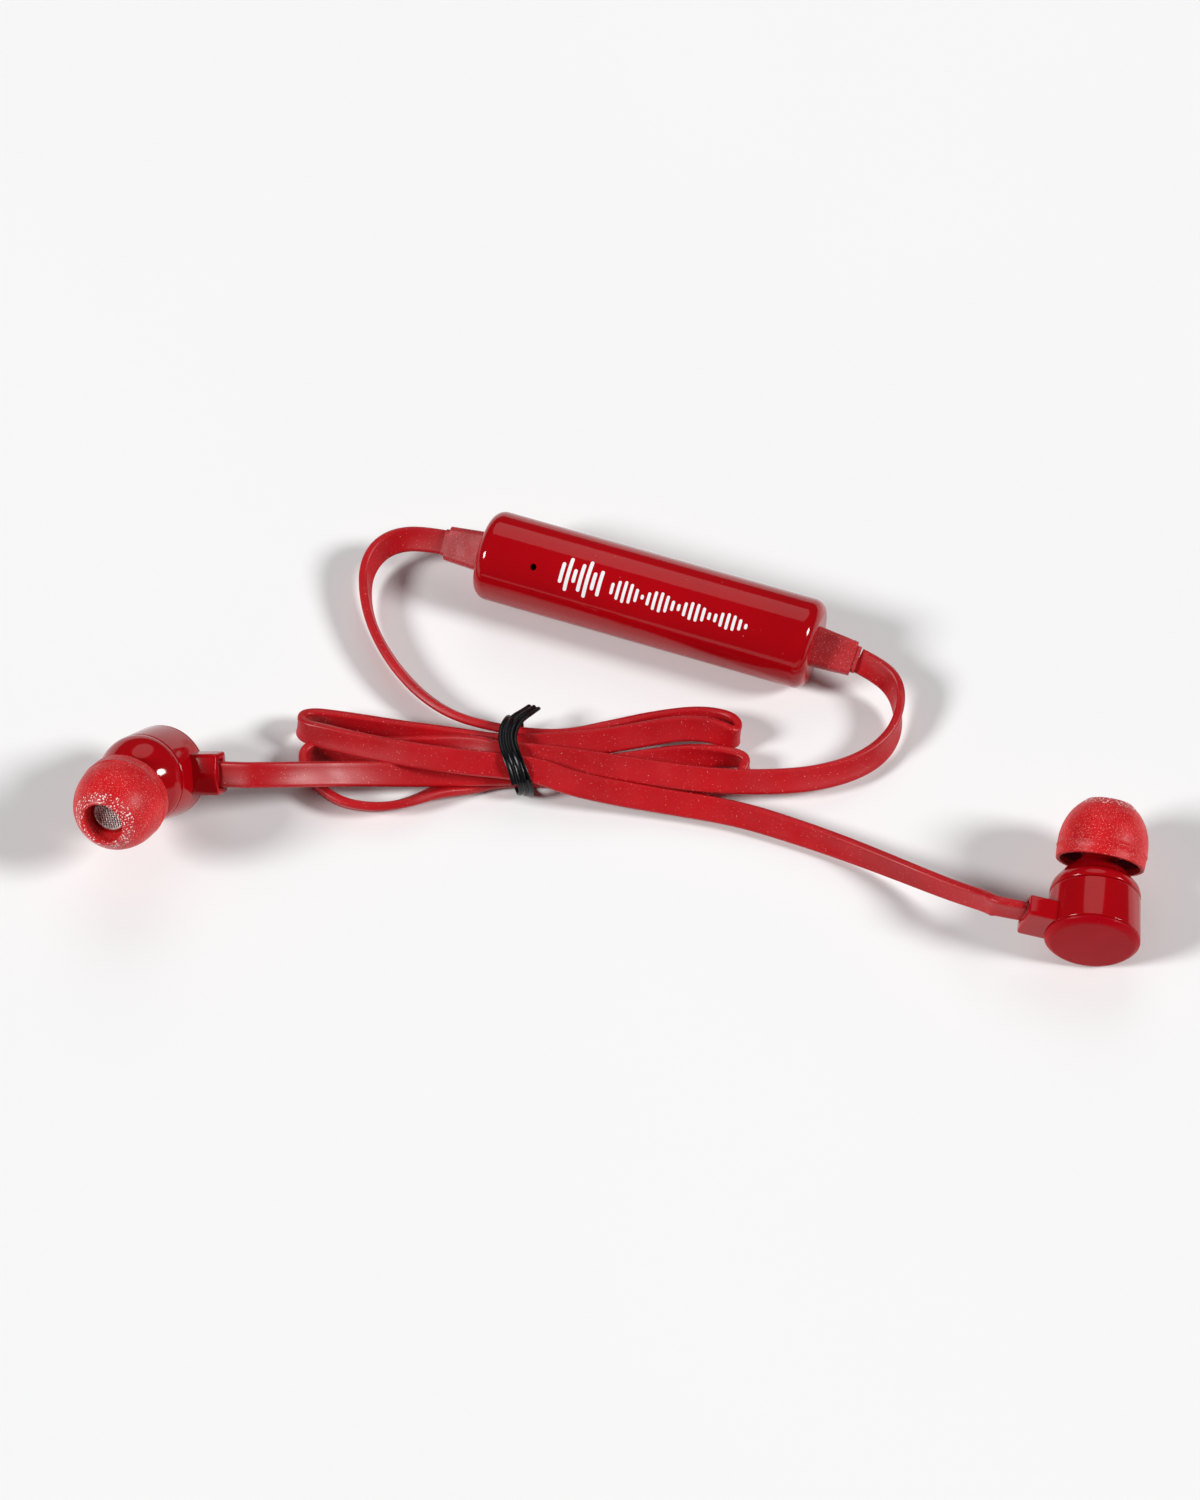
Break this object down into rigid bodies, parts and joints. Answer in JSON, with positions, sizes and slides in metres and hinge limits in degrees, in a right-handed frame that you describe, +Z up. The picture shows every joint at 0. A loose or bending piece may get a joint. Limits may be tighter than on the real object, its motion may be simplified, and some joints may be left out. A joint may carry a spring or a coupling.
{
  "type": "earphones",
  "caption": "In-ear earphones linked by flat cords through a round control module, folded into a hank held by a twist tie.",
  "frame": {"origin": "on the resting surface, under the middle of the module and the two buds", "axes": "+X from the left bud to the right bud, +Y from the buds towards the module, +Z up"},
  "size_m": [0.1396, 0.0682, 0.0185],
  "materials": {
    "gloss_red": "high gloss",
    "key_red": "gloss",
    "relief_rubber": "matte",
    "tip_silicone": "satin, fine grain",
    "cord_red": "matte, fine speckle",
    "tie_black": "ribbed, semi-gloss",
    "grille_mesh": "woven",
    "board_green": "satin",
    "chip_black": "matte",
    "antenna_white": "satin",
    "cell_foil": "satin",
    "socket_steel": "satin",
    "boot_black": "matte",
    "light_clear": "frosted",
    "damper_foam": "open foam",
    "coil_copper": "satin",
    "film_clear": "thin film"
  },
  "bodies": {
    "root": {"front_shell": "gloss_red", "rear_shell": "gloss_red", "left_housing": "gloss_red", "left_back_cover": "gloss_red", "left_front_cap": "gloss_red", "right_housing": "gloss_red", "right_back_cover": "gloss_red", "right_front_cap": "gloss_red", "left_strain_relief": "relief_rubber", "right_strain_relief": "relief_rubber", "left_cord_anchor": "relief_rubber", "right_cord_anchor": "relief_rubber", "left_module_lead": "cord_red", "right_module_lead": "cord_red", "left_bud_lead": "cord_red", "right_bud_lead": "cord_red", "cord_hank": "cord_red", "twist_tie": "tie_black", "left_grille": "grille_mesh", "right_grille": "grille_mesh", "circuit_board": "board_green", "radio_chip": "chip_black", "key_switches": "chip_black", "antenna_chip": "antenna_white", "status_light": "antenna_white", "battery_cell": "cell_foil", "charging_socket": "socket_steel", "microphone": "socket_steel", "left_driver_magnet": "socket_steel", "right_driver_magnet": "socket_steel", "microphone_boot": "boot_black", "left_driver_frame": "boot_black", "right_driver_frame": "boot_black", "light_guide": "light_clear", "left_damper": "damper_foam", "right_damper": "damper_foam", "left_voice_coil": "coil_copper", "right_voice_coil": "coil_copper", "left_diaphragm": "film_clear", "right_diaphragm": "film_clear"},
    "play_key": {"play_key": "key_red"},
    "volume_up_key": {"volume_up_key": "key_red"},
    "volume_down_key": {"volume_down_key": "key_red"},
    "left_tip": {"left_ear_tip": "tip_silicone"},
    "right_tip": {"right_ear_tip": "tip_silicone"}
  },
  "joints": [
    {"name": "play_key_press", "type": "slide", "parent": "root", "child": "play_key", "axis": [-0.1644, -0.4722, 0.866], "range_m": [0, 0.00025], "stiffness_N_per_m": 300, "springref_m": -0.0005},
    {"name": "volume_up_press", "type": "slide", "parent": "root", "child": "volume_up_key", "axis": [-0.1644, -0.4722, 0.866], "range_m": [0, 0.00025], "stiffness_N_per_m": 300, "springref_m": -0.0005},
    {"name": "volume_down_press", "type": "slide", "parent": "root", "child": "volume_down_key", "axis": [-0.1644, -0.4722, 0.866], "range_m": [0, 0.00025], "stiffness_N_per_m": 300, "springref_m": -0.0005},
    {"name": "left_tip_pull", "type": "slide", "parent": "root", "child": "left_tip", "axis": [-0.305, -0.8427, 0.4437], "range_m": [0, 0.009]},
    {"name": "right_tip_pull", "type": "slide", "parent": "root", "child": "right_tip", "axis": [0.1865, 0.9314, 0.3125], "range_m": [0, 0.009]}
  ]
}
